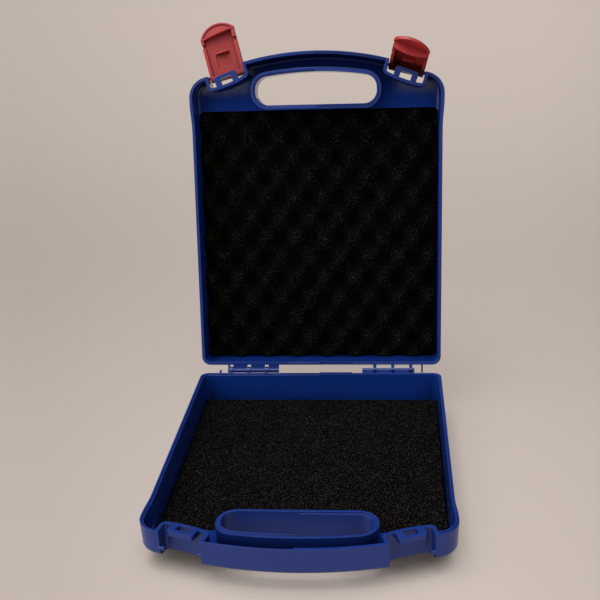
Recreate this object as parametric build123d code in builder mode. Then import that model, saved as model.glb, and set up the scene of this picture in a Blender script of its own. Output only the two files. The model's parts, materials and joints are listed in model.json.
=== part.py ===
from build123d import *
import math
import os

# Instrument carry case, millimetres. Two copies of one moulding make the base and the lid.
# Each half is drawn in its own frame: x to the right, y from the handle to the hinge,
# z out of the opening, the origin at the middle of the rear edge on the parting plane.
# A place in a half is often given as (u, v): u to the right, v from the rear edge to the handle.

# Outline of a half, seen from above
front_width = 247.8
waist_inset = 1.9
rear_inset = 4.1
case_length = 308.5
waist_setback = 70.5
bulge_setback = 50.5
front_angle = 17.0
rear_corner_radius = 8.5
front_corner_radius = 20.0
bulge_radius = 120.0

# Depths and walls of a half
tray_depth = 38.0
handle_depth = 23.0
wall = 3.0
floor = 2.6
draft_angle = 3.0
tray_corner_radius = 9.0
tray_edge_radius = 6.0
handle_edge_radius = 4.5
parting_gap = 0.2

# Finger slot and the ring wall around it
slot_length = 118.0
slot_setback = 19.7
slot_width = 31.3
slot_corner_radius = 12.4
ring_wall = 4.2
tray_slot_gap = 0.5

# Latch recesses, one at each front corner
recess_width = 36.8
recess_depth = 13.4
recess_bow = 1.6
recess_inset = 35.4
recess_setback = 15.7
recess_angle = 20.5
recess_wall = 3.0
recess_corner_radius = 2.0

# Hook tab across each recess, which the latch snaps under
tab_width = 22.8
tab_offset = 1.8
tab_setback = 3.7
tab_bar = 3.5
tab_leg = 5.8
tab_height = 4.8
tab_corner_radius = 2.4

# Latch pivot: moulded stubs on the cheeks of the recess
pivot_angle = 15.0
pivot_setback = 3.3
pivot_height = 15.6
stub_radius = 1.7
stub_length = 4.0
stub_clearance = 0.08
stub_end_clearance = 0.35
notch_clearance = 0.35

# Rim joint: a tongue on the right side of each half enters a rebate on the left of the other
tongue_height = 1.0
tongue_width = 1.3
tongue_start = 20.0
tongue_gap = 0.4
rebate_clearance = 0.3
key_length = 32.0
key_width = 1.1
key_height = 1.2
key_clearance = 0.5

# Hinge: a barrel bar on the right rear, snap hooks on the left rear
hinge_setback = 5.75
bar_radius = 2.2
bar_start = 42.0
hook_first = 54.4
hook_pitch = 17.9
hook_count = 3
hook_width = 3.1
hook_side_clearance = 0.35
hook_clearance = 0.08
hook_thickness = 1.6
hook_mouth = 2.6
plate_drop = 0.3
plate_thickness = 3.2
fin_thickness = 1.6
fin_offset = 101.3
fin_depth = 7.0
fin_reach = 8.0

# Latches
latch_proud = 1.2
latch_side_gap = 0.95
latch_plate = 2.2
latch_crown_height = 0.9
latch_wall = 2.9
latch_heel = 4.5
latch_heel_radius = 0.6
latch_length = 41.0
foot_angle = 7.4
latch_side_depth = 2.9
flange_thickness = 1.8
flange_depth = 5.9
lip_length = 10.6
lip_shift = 1.1
lip_angle = 7.4
lip_thickness = 2.0
lip_rim_width = 1.7
lip_rim_height = 1.3
lip_overhang = 0.6
lip_shoulder = 0.6
lip_root = 1.0
ridge_gap = 0.5
ridge_width = 12.0
ridge_thickness = 1.8
ridge_reach = 2.6
pocket_depth = 0.8
pocket_width = 14.0
pocket_length = 13.0

# Foam pads
foam_clearance = 0.3
base_foam_level = 27.0
lid_foam_level = 22.5
crest_height = 10.0
crest_pitch_across = 29.6
crest_pitch_along = 41.0
crest_shift_across = 9.4
crest_shift_along = 20.8
crest_steps = 8
crest_tolerance = 0.05

# Pose in which the case is stored
lid_open_angle = 102.35
left_latch_angle = 99.9
right_latch_angle = 23.9


def at(u, v):
    """Point of a half's plan, v measured from the rear edge towards the handle."""
    return (u, -v)


# Points that the front of the outline and the recesses share
half_front = front_width / 2
half_waist = half_front - waist_inset
half_rear = half_front - rear_inset
tilt_cos = math.cos(math.radians(recess_angle))
tilt_sin = math.sin(math.radians(recess_angle))
recess_u = half_front - recess_inset
recess_v = case_length - recess_setback
cheek_in = (recess_u - tilt_cos * recess_width / 2, recess_v + tilt_sin * recess_width / 2)
cheek_out = (recess_u + tilt_cos * recess_width / 2, recess_v - tilt_sin * recess_width / 2)
slot_rear = case_length - slot_setback - slot_width
tray_length = slot_rear - tray_slot_gap
corner_v = cheek_out[1] - (half_front - cheek_out[0]) * math.tan(math.radians(front_angle))


def half_outline():
    """Plan of a half at the parting plane: a tray that swells into two corners and a bowed handle."""
    with BuildSketch() as outline:
        with BuildLine():
            side = FilletPolyline(
                at(0, 0),
                at(half_rear, 0),
                at(half_waist, case_length - waist_setback),
                at(half_front, case_length - bulge_setback),
                at(half_front, corner_v),
                at(*cheek_out),
                radius=[rear_corner_radius, bulge_radius, bulge_radius, front_corner_radius],
            )
            Line(at(*cheek_out), at(*cheek_in))
            mirror(about=Plane.YZ)
            ThreePointArc(at(*cheek_in), at(0, case_length), at(-cheek_in[0], cheek_in[1]))
        make_face()
    return outline.sketch


def tray_outline():
    """Plan of the deep tray behind the handle, its sides in line with the outline's."""
    flare = (half_waist - half_rear) / (case_length - waist_setback)
    front_u = half_rear + flare * tray_length
    with BuildSketch() as outline:
        with BuildLine():
            FilletPolyline(
                at(0, 0),
                at(half_rear, 0),
                at(front_u, tray_length),
                at(0, tray_length),
                radius=[rear_corner_radius, tray_corner_radius],
            )
            mirror(about=Plane.YZ)
        make_face()
    return outline.sketch


def slot_outline(margin=0.0):
    """Plan of the finger slot, its front edge bowed like the handle, grown by a margin."""
    front = case_length - slot_setback
    bow = slot_length**2 / (8 * case_length)
    with BuildSketch() as outline:
        with BuildLine():
            Polyline(
                at(slot_length / 2, front - bow),
                at(slot_length / 2, front - slot_width),
                at(-slot_length / 2, front - slot_width),
                at(-slot_length / 2, front - bow),
            )
            ThreePointArc(
                at(-slot_length / 2, front - bow), at(0, front), at(slot_length / 2, front - bow)
            )
        make_face()
        fillet(outline.vertices(), slot_corner_radius)
        if margin:
            offset(amount=margin, mode=Mode.REPLACE)
    return outline.sketch


def block(plan, depth, edge_radius):
    """Drafted plug that hangs from the rim, rounded round its floor."""
    with BuildPart() as plug:
        with BuildSketch(rim):
            add(plan)
        extrude(amount=parting_gap / 2 - depth, taper=draft_angle)
        fillet(plug.faces().sort_by(Axis.Z)[0].edges(), edge_radius)
    return plug.part


def inset(plan, amount):
    """Plan drawn in by an amount all round."""
    with BuildSketch() as smaller:
        add(plan)
        offset(amount=-amount, mode=Mode.REPLACE)
    return smaller.sketch


def band(plan, outer, inner):
    """Strip between two insets of a plan."""
    outside = inset(plan, outer)
    inside = inset(plan, inner)
    with BuildSketch() as strip:
        add(outside)
        add(inside, mode=Mode.SUBTRACT)
    return strip.sketch


def recess_outline(margin=0.0):
    """Plan of both latch recesses, open to the front, grown by a margin."""
    pivot_cos = math.cos(math.radians(pivot_angle))
    pivot_sin = math.sin(math.radians(pivot_angle))
    reach = (recess_depth - recess_bow) / math.cos(math.radians(recess_angle - pivot_angle))
    mouth = 2 * recess_wall

    def along_cheek(corner, distance):
        return at(corner[0] + pivot_sin * distance, corner[1] + pivot_cos * distance)

    middle = at(recess_u - tilt_sin * recess_depth, recess_v - tilt_cos * recess_depth)
    with BuildSketch() as plan:
        with BuildLine():
            Polyline(
                along_cheek(cheek_in, -reach),
                along_cheek(cheek_in, mouth),
                along_cheek(cheek_out, mouth),
                along_cheek(cheek_out, -reach),
            )
            ThreePointArc(along_cheek(cheek_in, -reach), middle, along_cheek(cheek_out, -reach))
        make_face()
        fillet(plan.vertices().group_by(Axis.Y)[-2:], recess_corner_radius)
        if margin:
            offset(amount=margin, mode=Mode.REPLACE)
        mirror(about=Plane.YZ)
    return plan.sketch


def tab_outline():
    """Plan of both hook tabs: a bar on two legs that stand out from the recess's back wall."""
    root = recess_depth + recess_wall / 2
    bar_back = tab_setback + tab_bar
    with BuildSketch() as tab:
        with Locations((tab_offset, (tab_setback + root) / 2)):
            Rectangle(tab_width, root - tab_setback)
        with Locations((tab_offset, (bar_back + root) / 2)):
            Rectangle(tab_width - 2 * tab_leg, root - bar_back, mode=Mode.SUBTRACT)
        fillet(tab.vertices().group_by(Axis.Y)[0], tab_corner_radius)
    with BuildSketch() as plan:
        with Locations(Location((*at(recess_u, recess_v), 0), (0, 0, recess_angle))):
            add(tab.sketch)
        mirror(about=Plane.YZ)
    return plan.sketch


os.makedirs("parts", exist_ok=True)
rim = Plane.XY.offset(-parting_gap / 2)
half_plan = half_outline()
tray_plan = tray_outline()
slot_plan = slot_outline()
ring_plan = slot_outline(ring_wall)
recess_plan = recess_outline()
recess_wall_plan = recess_outline(recess_wall)
tab_plan = tab_outline()

# Pivot of a latch, in a half's own frame
pivot_u = recess_u - tilt_sin * pivot_setback
pivot_v = recess_v - tilt_cos * pivot_setback
pivot_cos = math.cos(math.radians(pivot_angle))
pivot_sin = math.sin(math.radians(pivot_angle))
cheek_reach = recess_width / 2 * math.cos(math.radians(recess_angle - pivot_angle))
cheek_middle = pivot_setback * math.sin(math.radians(recess_angle - pivot_angle))


def pivot_plane(side):
    """Plane square to the pivot axis of the right (1) or left (-1) recess, facing outwards."""
    origin = (side * pivot_u, -pivot_v, -pivot_height)
    return Plane(origin=origin, x_dir=(0, 0, 1), z_dir=(side * pivot_cos, pivot_sin, 0))


def key_centre(side):
    """Middle of the rear rim's key (1) or keyway (-1)."""
    return at(side * key_length / 2, wall / 2)


def hook_places():
    """Distance of each hook from the middle of the hinge."""
    return [hook_first + hook_pitch * n for n in range(hook_count)]


def bar_plates():
    """Start and end of each plate that carries the barrel bar, between the hook windows."""
    window = hook_width / 2 + hook_side_clearance
    starts = [bar_start] + [place + window for place in hook_places()]
    ends = [place - window for place in hook_places()] + [bar_end + fin_thickness]
    return list(zip(starts, ends))


bar_end = hook_places()[-1] + hook_width / 2 + hook_side_clearance
hinge_centre = (hinge_setback, 0)
hinge_root = -wall / 2
arm_middle = (hinge_root + hinge_setback) / 2
arm_reach = hinge_setback - hinge_root
fin_middle = (hinge_root + fin_reach) / 2
hook_radius = bar_radius + hook_clearance + hook_thickness

# Outer form of a half and the hollow inside it
outer_handle = block(half_plan, handle_depth, handle_edge_radius)
outer_tray = block(tray_plan, tray_depth, tray_edge_radius)
inner_handle = block(inset(half_plan, wall), handle_depth - floor, handle_edge_radius - floor / 2)
inner_tray = block(inset(tray_plan, wall), tray_depth - floor, tray_edge_radius - wall)

# Strips of the rim that carry the tongue and the rebate, round the case and round the slot
edge_tongue = band(half_plan, wall - tongue_width, wall)
edge_rebate = band(half_plan, wall - tongue_width - rebate_clearance, wall + rebate_clearance)
slot_tongue = slot_outline(tongue_width)
slot_rebate = slot_outline(tongue_width + rebate_clearance)

with BuildPart() as hollow:
    add(inner_handle)
    add(inner_tray)
    with BuildSketch():
        add(ring_plan)
        add(recess_wall_plan)
    extrude(amount=-handle_depth, mode=Mode.SUBTRACT)

with BuildPart() as half:
    add(outer_handle)
    add(outer_tray)
    add(hollow.part, mode=Mode.SUBTRACT)

    # Tongue: inner edge of the right rim, slot edge of the left ring
    right_side = at(front_width / 2 + tongue_gap, case_length / 2)
    left_side = at(-front_width / 2 - tongue_gap, case_length / 2)
    with BuildSketch(rim):
        add(edge_tongue)
        add(recess_wall_plan, mode=Mode.SUBTRACT)
        with Locations(right_side):
            Rectangle(front_width, case_length - 2 * tongue_start, mode=Mode.INTERSECT)
    extrude(amount=tongue_height)
    with BuildSketch(rim):
        add(slot_tongue)
        with Locations(left_side):
            Rectangle(front_width, case_length, mode=Mode.INTERSECT)
    extrude(amount=tongue_height)

    # Rebate: the same strips on the other side
    with BuildSketch(rim):
        add(edge_rebate)
        add(recess_wall_plan, mode=Mode.SUBTRACT)
        with Locations(left_side):
            Rectangle(front_width + tongue_gap, case_length, mode=Mode.INTERSECT)
    extrude(amount=-tongue_height - rebate_clearance, mode=Mode.SUBTRACT)
    with BuildSketch(rim):
        add(slot_rebate)
        with Locations(right_side):
            Rectangle(front_width + tongue_gap, case_length, mode=Mode.INTERSECT)
    extrude(amount=-tongue_height - rebate_clearance, mode=Mode.SUBTRACT)

    # Key and keyway in the rear rim
    with BuildSketch(rim):
        with Locations(key_centre(1)):
            Rectangle(key_length, key_width)
    extrude(amount=key_height)
    with BuildSketch(rim):
        with Locations(key_centre(-1)):
            Rectangle(key_length + 2 * key_clearance, key_width + 2 * key_clearance)
    extrude(amount=-key_height - key_clearance, mode=Mode.SUBTRACT)

    # Finger slot and latch recesses, right through
    with BuildSketch(Plane.XY.offset(tray_depth)):
        add(slot_plan)
        add(recess_plan)
    extrude(amount=-2 * tray_depth, mode=Mode.SUBTRACT)

    # Hook tabs
    with BuildSketch(rim):
        add(tab_plan)
    extrude(amount=parting_gap / 2 - tab_height)

    # Latch stubs on both cheeks of each recess
    for side in (1, -1):
        cheek_plane = pivot_plane(side)
        with BuildSketch(cheek_plane.offset(cheek_reach + cheek_middle - stub_length)):
            Circle(stub_radius)
        extrude(amount=stub_length + recess_wall / 2)
        with BuildSketch(cheek_plane.offset(-cheek_reach + cheek_middle - recess_wall / 2)):
            Circle(stub_radius)
        extrude(amount=stub_length + recess_wall / 2)

    # Barrel bar on its plates, and the fin that closes its end
    with BuildSketch(Plane.YZ.offset(bar_start)):
        with Locations(hinge_centre):
            Circle(bar_radius)
    extrude(amount=bar_end + fin_thickness - bar_start)
    for start, end in bar_plates():
        with BuildSketch(Plane.YZ.offset(start)):
            with Locations((arm_middle, -plate_drop - plate_thickness / 2)):
                Rectangle(arm_reach, plate_thickness)
            with Locations((hinge_setback, -plate_drop / 2 - plate_thickness / 2)):
                Rectangle(2 * bar_radius, plate_thickness + plate_drop)
            with Locations(hinge_centre):
                Circle(bar_radius)
        extrude(amount=end - start)
    for start in (bar_end, -fin_offset - fin_thickness / 2):
        with BuildSketch(Plane.YZ.offset(start)):
            with Locations((fin_middle, -plate_drop - fin_depth / 2)):
                Rectangle(fin_reach - hinge_root, fin_depth)
        extrude(amount=fin_thickness)

    # Snap hooks round the other half's bar, open upwards
    for place in hook_places():
        with BuildSketch(Plane.YZ.offset(-place - hook_width / 2)):
            with Locations(hinge_centre):
                Circle(hook_radius)
            with Locations((arm_middle, -hook_radius / 2)):
                Rectangle(arm_reach, hook_radius)
            with Locations(hinge_centre):
                Circle(bar_radius + hook_clearance, mode=Mode.SUBTRACT)
            with Locations((hinge_setback, hook_radius)):
                Rectangle(hook_mouth, 2 * hook_radius, mode=Mode.SUBTRACT)
            with Locations((hinge_root / 2, -hook_radius / 2)):
                Rectangle(-hinge_root, hook_radius)
        extrude(amount=hook_width)

# Places of the two halves: the base lies on its tray, the lid is the same moulding turned over
rear_y = tray_length / 2
hinge_y = rear_y + hinge_setback
base_place = Location((0, rear_y, tray_depth))
turned_over = Location((0, 0, 0), (0, 180, 0))


def opened(angle):
    """Movement that swings a closed lid open about the hinge."""
    swing = Location((0, 0, 0), (-angle, 0, 0))
    return Location((0, hinge_y, tray_depth)) * swing * Location((0, -hinge_y, -tray_depth))


lid_place = opened(lid_open_angle) * base_place * turned_over

with BuildPart() as base_shell:
    add(half.part.moved(base_place))
base_shell.part.label = "base_shell"
export_step(base_shell.part, "parts/base_shell.step")

with BuildPart() as lid_shell:
    add(half.part.moved(lid_place))
lid_shell.part.label = "lid_shell"
export_step(lid_shell.part, "parts/lid_shell.step")

# A latch in its own frame: x along the pivot axis, y outwards, z from the pivot towards the base
skin_angle = math.radians(recess_angle - pivot_angle)
skin_cos = math.cos(skin_angle)
skin_sin = math.sin(skin_angle)
skin_slope = math.tan(skin_angle)
skin_level = pivot_setback + latch_proud
latch_half = cheek_reach - latch_side_gap
latch_left = cheek_middle - latch_half
latch_right = cheek_middle + latch_half
bore_radius = stub_radius + stub_clearance
bore_depth = stub_length - latch_side_gap + stub_end_clearance
ridge_start = pivot_height + tab_height + ridge_gap
ridge_left = cheek_middle - ridge_width / 2
ridge_right = cheek_middle + ridge_width / 2
pocket_left = cheek_middle - pocket_width / 2
pocket_right = cheek_middle + pocket_width / 2
lip_half = latch_half + lip_overhang
foot_cos = math.cos(math.radians(foot_angle))
foot_sin = math.sin(math.radians(foot_angle))
foot_half = latch_half / foot_cos
foot_rise = latch_half * math.tan(math.radians(foot_angle))
base_stub_place = 2 * pivot_height
notch_half = stub_radius + notch_clearance


def skin_at(x, depth=0.0):
    """Height of the latch's outer face, or of a face at a depth below it."""
    return skin_level - x * skin_slope - depth


# Planes of the slanted foot and of the lip that flares out from it
foot_plane = Plane(
    origin=(cheek_middle, 0, latch_length), x_dir=(foot_cos, 0, -foot_sin), z_dir=(foot_sin, 0, foot_cos)
)
foot_edge = Plane(
    origin=(cheek_middle, skin_at(cheek_middle), latch_length),
    x_dir=(skin_cos, -skin_sin, 0),
    z_dir=(skin_sin, skin_cos, 0),
)
slant = Location((0, 0, 0), (0, 0, foot_angle))
flare = Location((0, 0, 0), (-lip_angle, 0, 0))
lip_plane = Plane(foot_edge.location * slant * flare)

# Outline of the finger lip, its arc nearer to the middle of the case
with BuildSketch() as lip_outline:
    with BuildLine():
        Polyline(
            (-lip_half, -lip_shoulder),
            (-latch_half, lip_root),
            (latch_half, lip_root),
            (lip_half, -lip_shoulder),
        )
        ThreePointArc((lip_half, -lip_shoulder), (-lip_shift, -lip_length), (-lip_half, -lip_shoulder))
    make_face()

# Flared finger lip of a latch, a raised rim round its inner face
with BuildPart() as lip:
    with BuildSketch(lip_plane):
        add(lip_outline.sketch)
    extrude(amount=-lip_thickness)
    with BuildSketch(lip_plane.offset(-lip_thickness)):
        add(lip_outline.sketch)
        offset(amount=-lip_rim_width, mode=Mode.SUBTRACT)
    extrude(amount=-lip_rim_height)

with BuildPart() as latch:
    # Face plate, slightly crowned across
    with BuildSketch(Plane.XY.offset(-latch_heel)):
        with BuildLine():
            ThreePointArc(
                (latch_left, skin_at(latch_left)),
                (cheek_middle, skin_at(cheek_middle) + latch_crown_height),
                (latch_right, skin_at(latch_right)),
            )
            Polyline(
                (latch_right, skin_at(latch_right)),
                (latch_right, skin_at(latch_right, latch_plate)),
                (latch_left, skin_at(latch_left, latch_plate)),
                (latch_left, skin_at(latch_left)),
            )
        make_face()
    extrude(amount=latch_heel + latch_length + foot_rise)

    # Side walls
    for outer, inner in ((latch_left, latch_left + latch_wall), (latch_right, latch_right - latch_wall)):
        with BuildSketch(Plane.XY.offset(-latch_heel)):
            with BuildLine():
                Polyline(
                    (outer, -latch_side_depth),
                    (outer, skin_at(outer, latch_plate / 2)),
                    (inner, skin_at(inner, latch_plate / 2)),
                    (inner, -latch_side_depth),
                    close=True,
                )
            make_face()
        extrude(amount=latch_heel + latch_length + foot_rise)

    # Wall across the heel, up to the pivot
    with BuildSketch(Plane.XY.offset(-latch_heel)):
        with BuildLine():
            Polyline(
                (latch_left, -latch_side_depth),
                (latch_right, -latch_side_depth),
                (latch_right, skin_at(latch_right, latch_plate / 2)),
                (latch_left, skin_at(latch_left, latch_plate / 2)),
                close=True,
            )
        make_face()
    extrude(amount=latch_heel)

    # Foot cut on the slant, and the flange across it
    split(bisect_by=foot_plane, keep=Keep.BOTTOM)
    with BuildSketch(foot_plane):
        with BuildLine():
            ThreePointArc(
                (-foot_half, -latch_side_depth),
                (0, -flange_depth),
                (foot_half, -latch_side_depth),
            )
            Polyline(
                (foot_half, -latch_side_depth),
                (foot_half, skin_at(latch_right, latch_plate / 2)),
                (-foot_half, skin_at(latch_left, latch_plate / 2)),
                (-foot_half, -latch_side_depth),
            )
        make_face()
    extrude(amount=flange_thickness, dir=(0, 0, -1))

    # Ridge that hooks under the base's tab
    with BuildSketch(Plane.XY.offset(ridge_start)):
        with BuildLine():
            Polyline(
                (ridge_left, -ridge_reach),
                (ridge_right, -ridge_reach),
                (ridge_right, skin_at(ridge_right, latch_plate / 2)),
                (ridge_left, skin_at(ridge_left, latch_plate / 2)),
                close=True,
            )
        make_face()
    extrude(amount=ridge_thickness)

    # Thinned panel above the ridge
    with BuildSketch(Plane.XY.offset(ridge_start - pocket_length)):
        with BuildLine():
            Polyline(
                (pocket_left, skin_at(pocket_left, latch_plate + pocket_depth)),
                (pocket_right, skin_at(pocket_right, latch_plate + pocket_depth)),
                (pocket_right, skin_at(pocket_right, latch_plate - pocket_depth)),
                (pocket_left, skin_at(pocket_left, latch_plate - pocket_depth)),
                close=True,
            )
        make_face()
    extrude(amount=pocket_length, mode=Mode.SUBTRACT)

    # Finger lip
    add(lip.part)

    # Rounded heel, bores for the lid's stubs and notches that clear the base's stubs
    fillet(latch.edges().filter_by(Axis.X).sort_by(Axis.Z)[0], latch_heel_radius)
    for start in (latch_left, latch_right - bore_depth):
        with BuildSketch(Plane.YZ.offset(start)):
            Circle(bore_radius)
        extrude(amount=bore_depth, mode=Mode.SUBTRACT)
        with BuildSketch(Plane.YZ.offset(start)):
            with Locations((notch_half - flange_depth, base_stub_place)):
                Rectangle(2 * flange_depth, 2 * notch_half)
        extrude(amount=bore_depth, mode=Mode.SUBTRACT)


def latch_place(side, angle):
    """Place of the right (1) or left (-1) latch, turned outwards by an angle, on the open case."""
    origin = (side * pivot_u, rear_y - pivot_v, tray_depth + pivot_height)
    closed = Plane(origin=origin, x_dir=(pivot_cos, side * pivot_sin, 0), z_dir=(0, 0, -1))
    return opened(lid_open_angle) * closed.location * Location((0, 0, 0), (-angle, 0, 0))


with BuildPart() as right_latch:
    add(latch.part.moved(latch_place(1, right_latch_angle)))
right_latch.part.label = "right_latch"
export_step(right_latch.part, "parts/right_latch.step")

with BuildPart() as left_latch:
    add(latch.part.mirror(Plane.YZ).moved(latch_place(-1, left_latch_angle)))
left_latch.part.label = "left_latch"
export_step(left_latch.part, "parts/left_latch.step")

# Foam plug that fills a tray, clear of the walls and of the ring
foam_plan = inset(tray_plan, wall + foam_clearance)
foam_block = block(foam_plan, tray_depth - floor, tray_edge_radius - wall + foam_clearance)
foam_ring_plan = slot_outline(ring_wall + foam_clearance)

with BuildPart() as foam_plug:
    add(foam_block)
    with BuildSketch(rim):
        add(foam_ring_plan)
    extrude(amount=-handle_depth, mode=Mode.SUBTRACT)

with BuildPart() as base_foam:
    add(foam_plug.part.moved(base_place))
    split(bisect_by=Plane.XY.offset(tray_depth - base_foam_level), keep=Keep.BOTTOM)
base_foam.part.label = "base_foam"
export_step(base_foam.part, "parts/base_foam.step")


def crest_level(x, y):
    """Height of the lid pad's egg-crate face over a place in the half's own frame."""
    across = math.cos(2 * math.pi * (x - crest_shift_across) / crest_pitch_across)
    along = math.cos(2 * math.pi * (-y - crest_shift_along) / crest_pitch_along)
    return crest_height / 2 * across * along - lid_foam_level


def spread(start, end, step):
    """Even places from a start to just past an end."""
    return [start + step * n for n in range(math.ceil((end - start) / step) + 1)]


# Egg-crate face of the lid's pad, with the foam under it
crest_columns = spread(-half_front, half_front, crest_pitch_across / crest_steps)
crest_rows = spread(-tray_length, 0, crest_pitch_along / crest_steps)
crest_points = [[Vector(x, y, crest_level(x, y)) for y in crest_rows] for x in crest_columns]
crest_face = Face.make_surface_from_array_of_points(crest_points, tol=crest_tolerance)
crest_body = Solid.extrude(crest_face, Vector(0, 0, -tray_depth))

with BuildPart() as lid_pad:
    add(foam_plug.part)
    add(crest_body, mode=Mode.INTERSECT)

with BuildPart() as lid_foam:
    add(lid_pad.part.moved(lid_place))
lid_foam.part.label = "lid_foam"
export_step(lid_foam.part, "parts/lid_foam.step")
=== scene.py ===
import json
import math

import bpy
from mathutils import Matrix, Vector, noise


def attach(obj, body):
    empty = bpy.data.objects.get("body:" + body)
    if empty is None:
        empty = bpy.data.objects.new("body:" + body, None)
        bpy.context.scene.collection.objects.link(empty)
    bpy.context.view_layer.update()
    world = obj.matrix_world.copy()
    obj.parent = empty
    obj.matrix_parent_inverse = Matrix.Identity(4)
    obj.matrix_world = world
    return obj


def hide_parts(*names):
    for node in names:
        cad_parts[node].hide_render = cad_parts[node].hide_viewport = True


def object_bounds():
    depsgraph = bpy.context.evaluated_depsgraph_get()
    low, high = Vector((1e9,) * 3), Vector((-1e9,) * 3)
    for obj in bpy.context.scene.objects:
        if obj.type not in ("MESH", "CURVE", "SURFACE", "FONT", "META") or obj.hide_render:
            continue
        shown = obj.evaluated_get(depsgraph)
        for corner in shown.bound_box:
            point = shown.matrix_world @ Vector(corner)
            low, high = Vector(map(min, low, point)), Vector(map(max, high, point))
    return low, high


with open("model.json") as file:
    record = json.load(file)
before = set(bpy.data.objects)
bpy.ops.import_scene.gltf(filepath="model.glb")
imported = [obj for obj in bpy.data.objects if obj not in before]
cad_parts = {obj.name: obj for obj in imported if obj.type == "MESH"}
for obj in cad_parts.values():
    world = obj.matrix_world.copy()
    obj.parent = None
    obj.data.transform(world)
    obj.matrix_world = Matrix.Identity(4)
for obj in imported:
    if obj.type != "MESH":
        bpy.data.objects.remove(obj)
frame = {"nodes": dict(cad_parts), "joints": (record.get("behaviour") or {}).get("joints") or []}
cad_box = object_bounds()
nodes = frame["nodes"]

# Camera: the photograph's own viewing angle
CAMERA_PLACE = Vector((0.0794, -0.8566, 0.4963))
CAMERA_YAW = math.radians(-5.60)
CAMERA_PITCH = math.radians(21.01)
CAMERA_ROLL = math.radians(2.38)
CAMERA_LENS = 65.23
CAMERA_SENSOR = 36.0
CAMERA_NEAR = 0.01
CAMERA_FAR = 50.0

# Room: pale but for a dim doorway in front, given by its elevation, middle and half width, a dim
# column in it up to a second elevation, and a dim wall behind, all in degrees
ROOM_PALE = (1.0, 0.955, 0.925, 1.0)
ROOM_DIM = (0.012, 0.010, 0.010, 1.0)
DOOR_TOP = 14.4
DOOR_MIDDLE = -4.0
DOOR_HALF = 26.0
DOOR_BLUR = 0.3
COLUMN_TOP = 24.0
COLUMN_HALF = 4.0
WALL_TOP = 52.0
WALL_TOP_BLUR = 8.0
WALL_HALF = 75.0
WALL_HALF_BLUR = 20.0

# The room's strength on the left, in the middle and on the right, and where one turns into the next
# along the sideways part of a direction
ROOM_LEFT = 1.25
ROOM_MIDDLE = 0.62
ROOM_RIGHT = 0.22
LEFT_TURN = (-0.17, -0.12)
RIGHT_TURN = (0.15, 0.55)

# Lamp above the case, in metres and watts
LAMP_PLACE = Vector((-0.3, -0.1, 2.0))
LAMP_SIZE = (1.2, 1.0)
LAMP_POWER = 13.0
LAMP_COLOUR = (1.0, 0.965, 0.93)

# Stage: a floor that bends up behind the case, in metres and degrees
FLOOR_FRONT = -3.0
FLOOR_BACK = 0.9
FLOOR_HALF = 3.0
BEND_RADIUS = 0.9
BEND_TURN = 60.0
BEND_STEPS = 16

# Backdrop: levels of its tone, painted light and shade along the sweep, which is depth plus height in
# metres, the tone beyond it, and the sweep's two ends
PAPER_TINT = (1.0, 0.868, 0.793)
PAPER_LEVELS = ((-0.25, 0.665), (0.10, 0.610), (0.45, 0.530), (0.75, 0.535), (1.30, 0.590), (1.80, 0.630))
PAPER_FAR = (0.62, 0.54, 0.49, 1.0)
SWEEP = (-0.4, 2.0)

# Painted falloff of light on the backdrop to both sides, wider with the distance from the camera
FALL_MIDDLE = 0.05
FALL_SETBACK = 0.86
FALL_SPREAD = 0.30
FALL_BAND = (0.45, 1.15)
FALL_SHARE = 0.12

# Glow of the backdrop: its share of the tone and its strength, which drops as a painted contact shadow
# where the case stands close over the floor, between two shares of open sky
GLOW_SHARE = 0.62
GLOW = 1.02
GLOW_REACH = 0.04
GLOW_SKY = (0.30, 0.64)
GLOW_CLOSED = 0.10

# Grain of the backdrop
FIBRE_SCALE = 700.0
FIBRE_STRENGTH = 0.03
FIBRE_DEPTH = 0.0002
PAPER_ROUGH = 0.75
PAPER_SPECULAR = 0.2

# Plastics: colours, the deeper tones they drift to, roughness, that of the polished faces, called
# gloss, and how a seed moves the marks
BLUE = (0.008, 0.042, 0.290, 1.0)
BLUE_DEEP = (0.007, 0.037, 0.262, 1.0)
BLUE_ROUGH = 0.34
BASE_GLOSS = 0.04
LID_GLOSS = 0.035
RED = (0.53, 0.040, 0.043, 1.0)
RED_DEEP = (0.48, 0.033, 0.037, 1.0)
RED_ROUGH = 0.42
PLASTIC_IOR = 1.49
PLASTIC_SHIFT = (1.0, 0.7, -1.0)

# What painted shade in nooks and the painted falloff of light on the backdrop's sides darken towards
BLACK = (0.0, 0.0, 0.0, 1.0)

# Marks of the moulding: noise scales per metre, the bands of each noise that count, what scuffs add
# to a roughness, and the grain's strength on latches and on a shell's polished and outer faces
FLOW_SCALE = 9.0
FLOW_BAND = (0.35, 0.65)
GRAIN_SCALE = 1400.0
PEEL_SCALE = 240.0
PEEL_SHARE = 0.65
SCUFF_SCALE = 60.0
SCUFF_BAND = (0.3, 0.75)
ROUGH_SPREAD = (-0.05, 0.09)
GLOSS_SPREAD = (-0.01, 0.02)
LATCH_GRAIN = 0.12
SHELL_GRAIN = (0.02, 0.14)
GRAIN_DEPTH = 0.00025

# Worn edges: how far they are rounded, how much they bend, and how pale they get
EDGE_RADIUS = 0.0006
EDGE_SAMPLES = 6
EDGE_BEND = (0.995, 0.90)
EDGE_SHARE = 0.35
WEAR_BAND = (0.35, 0.7)
WEAR_SHARES = (0.3, 1.0)
WORN_GAIN = 1.5
WORN_LIFT = 0.02

# Painted shade in nooks of the mouldings: how far off their walls may be, shares of open sky, and
# the tone left in the tightest ones
NOOK_REACH = 0.03
NOOK_SKY = (0.10, 0.75)
NOOK_SHADE_TONE = 0.25

# Rays that each share of open sky is counted with
SKY_SAMPLES = 8

# A point inside each half, which tells its inner faces from its rim and its outer ones, and the
# distance over which one turns into the other
CAVITY_LEVEL = 0.030
BASE_CAVITY = (0.0, 0.0, CAVITY_LEVEL)
CAVITY_BLUR = 0.002

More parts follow.
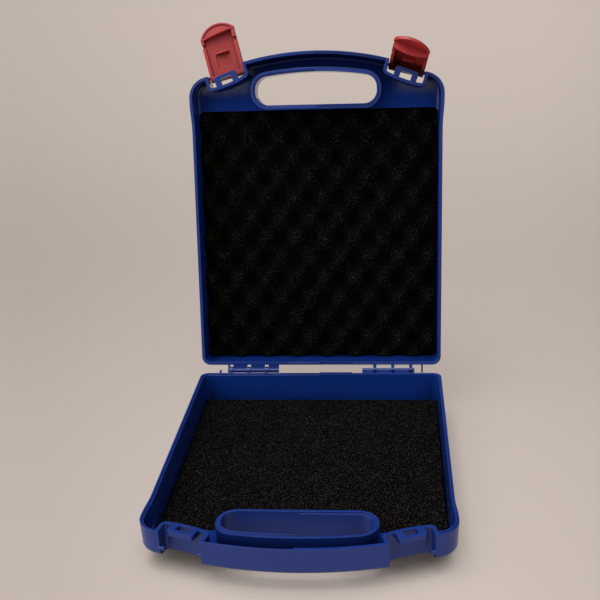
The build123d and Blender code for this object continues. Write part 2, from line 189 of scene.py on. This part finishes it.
# Foam: colours, noise scales per metre, and the bands of each noise that count
FOAM_DARK = (0.0008, 0.0008, 0.0007, 1.0)
FOAM_LIT = (0.105, 0.0966, 0.0882, 1.0)
FOAM_SHIFT = (1.0, -1.0, 0.3)
FOAM_ROUGH = 0.95
FOAM_SPECULAR = 0.04
PORE_SCALE = 700.0
PORE_STRENGTH = 0.9
PORE_DEPTH = 0.0008
STRUT_SCALE = 820.0
STRUT_BAND = (0.50, 0.76)
STRUT_POWER = 1.6
STRUT_HEIGHT = 0.8
PATCH_SCALE = 35.0
PATCH_BAND = (0.3, 0.7)
PATCH_SHARES = (0.75, 1.0)

# Depths of the crests and valleys of the lid's pad behind the hinge, and the light left in a valley
CREST_DEPTHS = (0.0178, 0.0262)
VALLEY_SHARE = 0.12

# Pads: voxel and depth of the unevenness, in metres, the noises that it is made of, each with its
# scale per metre and its share, its middle level, and how full a pad is
BASE_VOXEL = 0.0018
BASE_UNEVEN = 0.00025
LID_VOXEL = 0.0016
LID_UNEVEN = 0.0003
WAVE_SCALES = ((90.0, 0.35), (420.0, 0.65))
WAVE_LEVEL = 0.5


class Graph:
    """Node tree of a material or a world, with short calls for the nodes used here."""

    def __init__(self, owner):
        self.owner = owner
        owner.use_nodes = True
        self.tree = owner.node_tree
        self.tree.nodes.clear()
        kind = "ShaderNodeOutputWorld" if isinstance(owner, bpy.types.World) else "ShaderNodeOutputMaterial"
        self.output = self.tree.nodes.new(kind)
        self.coords = self.tree.nodes.new("ShaderNodeTexCoord")

    def add(self, kind, sources=None, **values):
        """New node with its properties set, and its sockets set or linked."""
        node = self.tree.nodes.new(kind)
        for key, value in values.items():
            setattr(node, key, value)
        for socket, source in (sources or {}).items():
            if isinstance(source, bpy.types.NodeSocket):
                self.tree.links.new(source, node.inputs[socket])
            else:
                node.inputs[socket].default_value = source
        return node

    def place(self, seed=0.0, shift=None):
        """Place on the piece, moved by a seed so that no two pieces get the same pattern."""
        place = self.coords.outputs["Object"]
        if shift:
            place = self.vector("ADD", place, tuple(seed * c for c in shift))
        return place

    def noise(self, scale, detail, rough, place):
        return self.add("ShaderNodeTexNoise", {
            "Vector": place, "Scale": scale, "Detail": detail, "Roughness": rough,
        }).outputs["Fac"]

    def span(self, source, band, levels=(0.0, 1.0)):
        """Value that goes from one level to the other as the source crosses the band."""
        return self.add("ShaderNodeMapRange", {
            "Value": source, "From Min": band[0], "From Max": band[1],
            "To Min": levels[0], "To Max": levels[1],
        }).outputs["Result"]

    def math(self, operation, a, b=0.0):
        return self.add("ShaderNodeMath", {0: a, 1: b}, operation=operation).outputs[0]

    def vector(self, operation, a, b):
        node = self.add("ShaderNodeVectorMath", {0: a, 1: b}, operation=operation)
        return node.outputs["Value" if operation == "DOT_PRODUCT" else "Vector"]

    def mix(self, factor, a, b):
        return self.add("ShaderNodeMix", {0: factor, 6: a, 7: b}, data_type="RGBA").outputs[2]

    def sky(self, reach):
        """Share of open sky over a place, where only what is within reach hides it."""
        return self.add("ShaderNodeAmbientOcclusion", {"Distance": reach}, samples=SKY_SAMPLES).outputs["AO"]

    def ray(self, *kinds):
        """One for rays of any of the kinds, such as Is Camera Ray, and nought for the others."""
        path = self.add("ShaderNodeLightPath")
        share = path.outputs[kinds[0]]
        for kind in kinds[1:]:
            share = self.math("MAXIMUM", share, path.outputs[kind])
        return share

    def finish(self, shader):
        """Material or world, with the shader at its output."""
        self.tree.links.new(shader.outputs[0], self.output.inputs["Surface"])
        return self.owner


def spread(middle, offsets):
    """Two levels round a middle one."""
    return tuple(middle + offset for offset in offsets)


def worn_and_shaded_tone(g, tone, colour, place, scuff):
    """Tone that is paler on worn edges and darkened by painted shade in nooks, with the normal of the
    rounded edges.
    """
    rounded = g.add("ShaderNodeBevel", {"Radius": EDGE_RADIUS}, samples=EDGE_SAMPLES).outputs[0]
    sharp = g.add("ShaderNodeNewGeometry")
    bend = g.vector("DOT_PRODUCT", rounded, sharp.outputs["Normal"])
    edge = g.span(bend, EDGE_BEND, (0.0, EDGE_SHARE))
    worn = g.math("MULTIPLY", edge, g.span(scuff, WEAR_BAND, WEAR_SHARES))
    pale = tuple(min(1.0, c * WORN_GAIN + WORN_LIFT) for c in colour[:3]) + (1.0,)
    tone = g.mix(worn, tone, pale)
    # Painted shade: the tone darkens towards black where walls close over a place
    tone = g.mix(g.span(g.sky(NOOK_REACH), NOOK_SKY, (NOOK_SHADE_TONE, 1.0)), BLACK, tone)
    return tone, rounded, sharp.outputs["True Normal"]


def plastic(name, colour, deep, rough, seed, cavity=None, gloss=None):
    """Moulded polypropylene: fine grain, faint flow variation, paler worn edges, painted shade in nooks.
    Faces that look towards the point in the cavity have the gloss of the polished mould core."""
    g = Graph(bpy.data.materials.new(name))
    place = g.place(seed, PLASTIC_SHIFT)
    flow = g.noise(FLOW_SCALE, detail=3.0, rough=0.55, place=place)
    grain = g.noise(GRAIN_SCALE, detail=2.0, rough=0.6, place=place)
    peel = g.noise(PEEL_SCALE, detail=2.0, rough=0.5, place=place)
    scuff = g.noise(SCUFF_SCALE, detail=5.0, rough=0.7, place=place)
    tone = g.mix(g.span(flow, FLOW_BAND), deep, colour)
    tone, rounded, face = worn_and_shaded_tone(g, tone, colour, place, scuff)
    height = g.math("ADD", g.math("MULTIPLY", grain, 1.0 - PEEL_SHARE), g.math("MULTIPLY", peel, PEEL_SHARE))
    roughness = g.span(scuff, SCUFF_BAND, spread(rough, ROUGH_SPREAD))
    strength = LATCH_GRAIN
    if cavity:
        offset = g.vector("SUBTRACT", g.place(), cavity)
        facing = g.add(
            "ShaderNodeVectorTransform", {0: face},
            vector_type="NORMAL", convert_from="WORLD", convert_to="OBJECT",
        ).outputs[0]
        looks = g.vector("DOT_PRODUCT", offset, facing)
        outside = g.span(looks, (-CAVITY_BLUR, CAVITY_BLUR))
        polished = g.span(scuff, SCUFF_BAND, spread(gloss, GLOSS_SPREAD))
        rougher = g.math("SUBTRACT", roughness, polished)
        roughness = g.math("ADD", polished, g.math("MULTIPLY", outside, rougher))
        strength = g.span(outside, (0.0, 1.0), SHELL_GRAIN)
    bump = g.add("ShaderNodeBump", {
        "Strength": strength, "Distance": GRAIN_DEPTH, "Height": height, "Normal": rounded,
    })
    return g.finish(g.add("ShaderNodeBsdfPrincipled", {
        "Base Color": tone, "Roughness": roughness, "Normal": bump.outputs[0], "IOR": PLASTIC_IOR,
    }))


def foam(name, seed, crests=None):
    """Black open-cell foam: pores about a millimetre wide and struts that catch the light, dimmed by
    painted shade down between the crests, whose depths are measured from a point along a direction."""
    g = Graph(bpy.data.materials.new(name))
    place = g.place(seed, FOAM_SHIFT)
    pores = g.add("ShaderNodeTexVoronoi", {"Vector": place, "Scale": PORE_SCALE})
    struts = g.noise(STRUT_SCALE, detail=2.0, rough=0.7, place=place)
    patch = g.noise(PATCH_SCALE, detail=3.0, rough=0.6, place=place)
    speck = g.math("POWER", g.span(struts, STRUT_BAND), STRUT_POWER)
    speck = g.math("MULTIPLY", speck, g.span(patch, PATCH_BAND, PATCH_SHARES))
    if crests:
        origin, inward = crests
        depth = g.vector("DOT_PRODUCT", g.vector("SUBTRACT", g.place(), origin), inward)
        # Painted shade: the lit struts fade down into the valleys between the crests
        speck = g.math("MULTIPLY", speck, g.span(depth, CREST_DEPTHS, (1.0, VALLEY_SHARE)))
    tone = g.mix(speck, FOAM_DARK, FOAM_LIT)
    height = g.math("ADD", pores.outputs["Distance"], g.math("MULTIPLY", struts, STRUT_HEIGHT))
    bump = g.add("ShaderNodeBump", {"Strength": PORE_STRENGTH, "Distance": PORE_DEPTH, "Height": height})
    return g.finish(g.add("ShaderNodeBsdfPrincipled", {
        "Base Color": tone, "Roughness": FOAM_ROUGH, "Normal": bump.outputs[0],
        "Specular IOR Level": FOAM_SPECULAR,
    }))


def paper(name):
    """Seamless pale backdrop: its tone follows the sweep from the floor up and falls off to both sides,
    both painted light, and it glows a little for camera, glossy and transmission rays, so that shadows
    on it stay light; the glow drops as a painted contact shadow where the case stands close over it."""
    g = Graph(bpy.data.materials.new(name))
    parts = g.add("ShaderNodeSeparateXYZ", {0: g.place()})
    sweep = g.math("ADD", parts.outputs["Y"], parts.outputs["Z"])
    ramp = g.add("ShaderNodeValToRGB", {"Fac": g.span(sweep, SWEEP)})
    ramp.color_ramp.interpolation = "B_SPLINE"
    marks = ramp.color_ramp.elements
    while len(marks) < len(PAPER_LEVELS):
        marks.new(0.5)
    for mark, (place, level) in zip(marks, PAPER_LEVELS):
        mark.position = (place - SWEEP[0]) / (SWEEP[1] - SWEEP[0])
        mark.color = tuple(level * c for c in PAPER_TINT) + (1.0,)
    # Painted falloff of light: the tone darkens to both sides
    aside = g.math("ABSOLUTE", g.math("SUBTRACT", parts.outputs["X"], FALL_MIDDLE))
    reach = g.math("MULTIPLY", g.math("ADD", parts.outputs["Y"], FALL_SETBACK), FALL_SPREAD)
    fall = g.span(g.math("DIVIDE", aside, reach), FALL_BAND, (0.0, FALL_SHARE))
    tone = g.mix(fall, ramp.outputs["Color"], BLACK)
    fibre = g.noise(FIBRE_SCALE, detail=2.0, rough=0.6, place=g.place())
    bump = g.add("ShaderNodeBump", {"Strength": FIBRE_STRENGTH, "Distance": FIBRE_DEPTH, "Height": fibre})
    sheet = g.add("ShaderNodeBsdfPrincipled", {
        "Base Color": tone, "Roughness": PAPER_ROUGH, "Normal": bump.outputs[0],
        "Specular IOR Level": PAPER_SPECULAR,
    })
    # Painted contact shadow: the glow drops where the case hides the sky close over the floor
    strength = g.span(g.sky(GLOW_REACH), GLOW_SKY, (GLOW_CLOSED * GLOW, GLOW))
    glow = g.add("ShaderNodeEmission", {"Color": tone, "Strength": strength})
    seen = g.ray("Is Camera Ray", "Is Glossy Ray", "Is Transmission Ray")
    return g.finish(g.add("ShaderNodeMixShader", {
        0: g.math("MULTIPLY", seen, GLOW_SHARE), 1: sheet.outputs[0], 2: glow.outputs[0],
    }))


def link(name, data):
    """New object in the scene."""
    piece = bpy.data.objects.new(name, data)
    bpy.context.scene.collection.objects.link(piece)
    return piece


def assign(piece, material):
    piece.data.materials.clear()
    piece.data.materials.append(material)


def smooth(mesh):
    for polygon in mesh.polygons:
        polygon.use_smooth = True


def lid_swing():
    """Place of the lid's hinge, and the turn that opens the lid from shut."""
    hinge = next(joint for joint in frame["joints"] if joint["name"] == "lid_hinge")
    opening = -math.radians(hinge["range_deg"][1])
    return Vector(hinge["pos_m"]), Matrix.Rotation(opening, 3, Vector(hinge["axis"]))


def lid_cavity():
    """The base's point, carried over to the open lid: mirrored in the rim and swung about the hinge."""
    pivot, swing = lid_swing()
    mirrored = Vector((0.0, 0.0, 2 * pivot.z - CAVITY_LEVEL))
    return tuple(swing @ (mirrored - pivot) + pivot)


def lid_crests():
    """Hinge and direction into the open lid, along which the crests' depths are measured."""
    pivot, swing = lid_swing()
    return tuple(pivot), tuple(swing @ Vector((0.0, 0.0, 1.0)))


def foam_pad(node, name, body, voxel, uneven, material):
    """Pad from the CAD solid, remeshed, with the slight unevenness of cut foam."""
    piece = link(name, nodes[node].data.copy())
    remesh = piece.modifiers.new("remesh", "REMESH")
    remesh.mode = "VOXEL"
    remesh.voxel_size = voxel
    remesh.adaptivity = 0.0
    bpy.context.view_layer.update()
    shaped = bpy.data.meshes.new_from_object(piece.evaluated_get(bpy.context.evaluated_depsgraph_get()))
    piece.modifiers.clear()
    piece.data = shaped
    shaped.name = name
    normals = [vertex.normal.copy() for vertex in shaped.vertices]
    for vertex, normal in zip(shaped.vertices, normals):
        wave = sum(noise.noise(vertex.co * scale) * share for scale, share in WAVE_SCALES)
        vertex.co -= normal * uneven * (WAVE_LEVEL + wave)
    smooth(shaped)
    assign(piece, material)
    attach(piece, body)
    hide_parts(node)


def make_camera():
    """Camera at its place, turned by its yaw, pitch and roll."""
    forward = Vector((
        math.sin(CAMERA_YAW) * math.cos(CAMERA_PITCH),
        math.cos(CAMERA_YAW) * math.cos(CAMERA_PITCH),
        -math.sin(CAMERA_PITCH),
    ))
    level = Vector((math.cos(CAMERA_YAW), -math.sin(CAMERA_YAW), 0))
    below = forward.cross(level)
    right = math.cos(CAMERA_ROLL) * level + math.sin(CAMERA_ROLL) * below
    down = math.cos(CAMERA_ROLL) * below - math.sin(CAMERA_ROLL) * level
    turn = Matrix((right, -down, -forward)).transposed().to_4x4()
    data = bpy.data.cameras.new("camera")
    data.lens = CAMERA_LENS
    data.sensor_width = CAMERA_SENSOR
    data.clip_start = CAMERA_NEAR
    data.clip_end = CAMERA_FAR
    camera = link("camera", data)
    camera.matrix_world = Matrix.Translation(CAMERA_PLACE) @ turn
    bpy.context.scene.camera = camera


def make_stage():
    """Floor that sweeps up into the backdrop behind the case."""
    profile = [(FLOOR_FRONT, 0.0), (FLOOR_BACK, 0.0)]
    for step in range(1, BEND_STEPS + 1):
        turn = math.radians(BEND_TURN * step / BEND_STEPS)
        profile.append((FLOOR_BACK + BEND_RADIUS * math.sin(turn), BEND_RADIUS * (1 - math.cos(turn))))
    points = [(x, y, z) for y, z in profile for x in (-FLOOR_HALF, FLOOR_HALF)]
    faces = [(2 * n, 2 * n + 1, 2 * n + 3, 2 * n + 2) for n in range(len(profile) - 1)]
    mesh = bpy.data.meshes.new("backdrop")
    mesh.from_pydata(points, [], faces)
    smooth(mesh)
    backdrop = link("backdrop", mesh)
    backdrop.location = (0, 0, cad_box[0][2])
    assign(backdrop, paper("backdrop_paper"))


def make_lamp():
    data = bpy.data.lights.new("overhead", "AREA")
    data.shape = "RECTANGLE"
    data.size, data.size_y = LAMP_SIZE
    data.energy = LAMP_POWER
    data.color = LAMP_COLOUR
    aim = (-LAMP_PLACE).to_track_quat("-Z", "Y").to_matrix().to_4x4()
    link("overhead", data).matrix_world = Matrix.Translation(LAMP_PLACE) @ aim


def make_room():
    """World: a room that is pale all round, strongest on the left, over a dim doorway in front of
    the case and a dim wall behind it. Camera and transmission rays see the backdrop's far tone."""
    g = Graph(bpy.data.worlds.new("room"))
    parts = g.add("ShaderNodeSeparateXYZ", {0: g.coords.outputs["Generated"]})
    across = parts.outputs["X"]
    rise = g.math("MULTIPLY", g.math("ARCSINE", parts.outputs["Z"]), math.degrees(1.0))
    front = g.math("MULTIPLY", parts.outputs["Y"], -1.0)
    turn = g.math("MULTIPLY", g.math("ARCTAN2", across, front), math.degrees(1.0))
    aside = g.math("ABSOLUTE", g.math("SUBTRACT", turn, DOOR_MIDDLE))
    behind = g.math("SUBTRACT", 180.0, g.math("ABSOLUTE", turn))

    def inside(value, limit, blur):
        return g.span(value, (limit - blur / 2, limit + blur / 2), (1.0, 0.0))

    door = g.math("MULTIPLY", inside(rise, DOOR_TOP, DOOR_BLUR), inside(aside, DOOR_HALF, DOOR_BLUR))
    column = g.math("MULTIPLY", inside(rise, COLUMN_TOP, DOOR_BLUR), inside(aside, COLUMN_HALF, DOOR_BLUR))
    wall = g.math(
        "MULTIPLY", inside(rise, WALL_TOP, WALL_TOP_BLUR), inside(behind, WALL_HALF, WALL_HALF_BLUR),
    )
    dim = g.math("MAXIMUM", g.math("MAXIMUM", door, column), wall)
    left = g.span(across, LEFT_TURN, (ROOM_LEFT, ROOM_MIDDLE))
    right = g.span(across, RIGHT_TURN, (ROOM_LEFT, ROOM_RIGHT))
    level = g.math("MINIMUM", left, right)
    seen = g.ray("Is Camera Ray", "Is Transmission Ray")
    tone = g.mix(seen, g.mix(dim, ROOM_PALE, ROOM_DIM), PAPER_FAR)
    level = g.math("ADD", g.math("MULTIPLY", level, g.math("SUBTRACT", 1.0, seen)), seen)
    bpy.context.scene.world = g.finish(g.add("ShaderNodeBackground", {"Color": tone, "Strength": level}))


def main():
    make_camera()
    assign(nodes["base_shell"], plastic(
        "base_blue", BLUE, BLUE_DEEP, BLUE_ROUGH, seed=0.3, cavity=BASE_CAVITY, gloss=BASE_GLOSS,
    ))
    assign(nodes["lid_shell"], plastic(
        "lid_blue", BLUE, BLUE_DEEP, BLUE_ROUGH, seed=2.1, cavity=lid_cavity(), gloss=LID_GLOSS,
    ))
    assign(nodes["left_latch"], plastic("left_red", RED, RED_DEEP, RED_ROUGH, seed=4.2))
    assign(nodes["right_latch"], plastic("right_red", RED, RED_DEEP, RED_ROUGH, seed=5.9))
    foam_pad("base_foam", "base_pad", "base", BASE_VOXEL, BASE_UNEVEN, foam("flat_foam", seed=0.4))
    crested = foam("crested_foam", seed=1.7, crests=lid_crests())
    foam_pad("lid_foam", "lid_pad", "lid", LID_VOXEL, LID_UNEVEN, crested)
    make_stage()
    make_lamp()
    make_room()
    bpy.context.scene.view_settings.view_transform = "Standard"


main()
